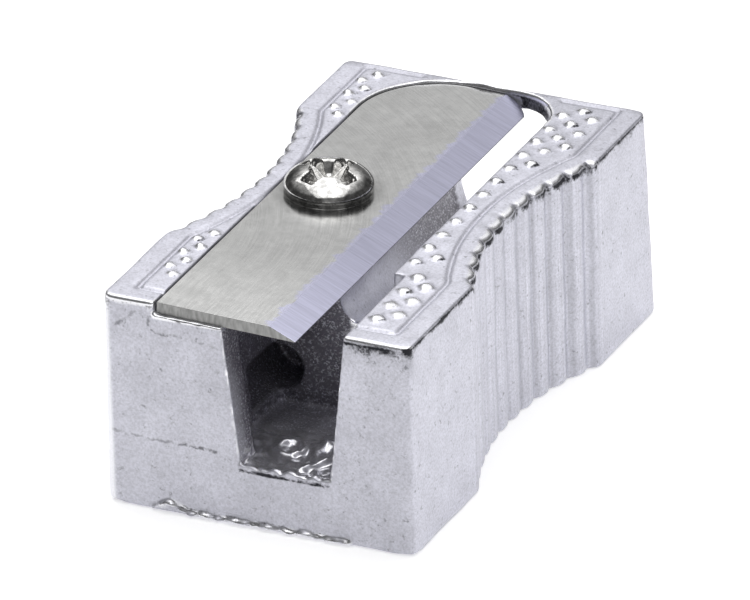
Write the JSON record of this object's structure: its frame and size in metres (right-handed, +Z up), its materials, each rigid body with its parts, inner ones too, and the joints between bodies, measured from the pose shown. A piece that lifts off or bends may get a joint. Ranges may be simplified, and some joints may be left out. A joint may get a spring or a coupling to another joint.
{
  "type": "pencil sharpener",
  "caption": "Hand-held metal wedge sharpener: cast waisted body with ribbed sides, flat blade over a conical pencil hole, held by a cross-head screw.",
  "frame": {"origin": "centre of the bounding box's bottom face, on the flat base", "axes": "+Z up from the base to the blade, +Y along the body from the tip end towards the mouth of the pencil hole, +X from the back of the blade towards the shavings window"},
  "size_m": [0.015, 0.0264, 0.0114],
  "materials": {
    "body": "as-cast light alloy, lightly tumbled, satin",
    "blade": "ground spring steel with a bright ground bevel",
    "screw": "bright nickel plate"
  },
  "bodies": {
    "body": {"body": "body"},
    "blade": {"blade": "blade"},
    "screw": {"screw": "screw"}
  },
  "joints": [
    {"name": "blade_lift", "type": "slide", "parent": "body", "child": "blade", "axis": [0.0314, 0, 0.9995], "range_m": [0, 0.0048]},
    {"name": "screw_turn", "type": "hinge", "parent": "blade", "child": "screw", "pos_m": [-0.00263, 0.00015, 0.01028], "axis": [0.0314, 0, 0.9995], "range_deg": [0, 4320]}
  ],
  "couplings": [
    {"joint": "screw_turn", "follows": "blade_lift", "rad_per_m": 15708}
  ]
}
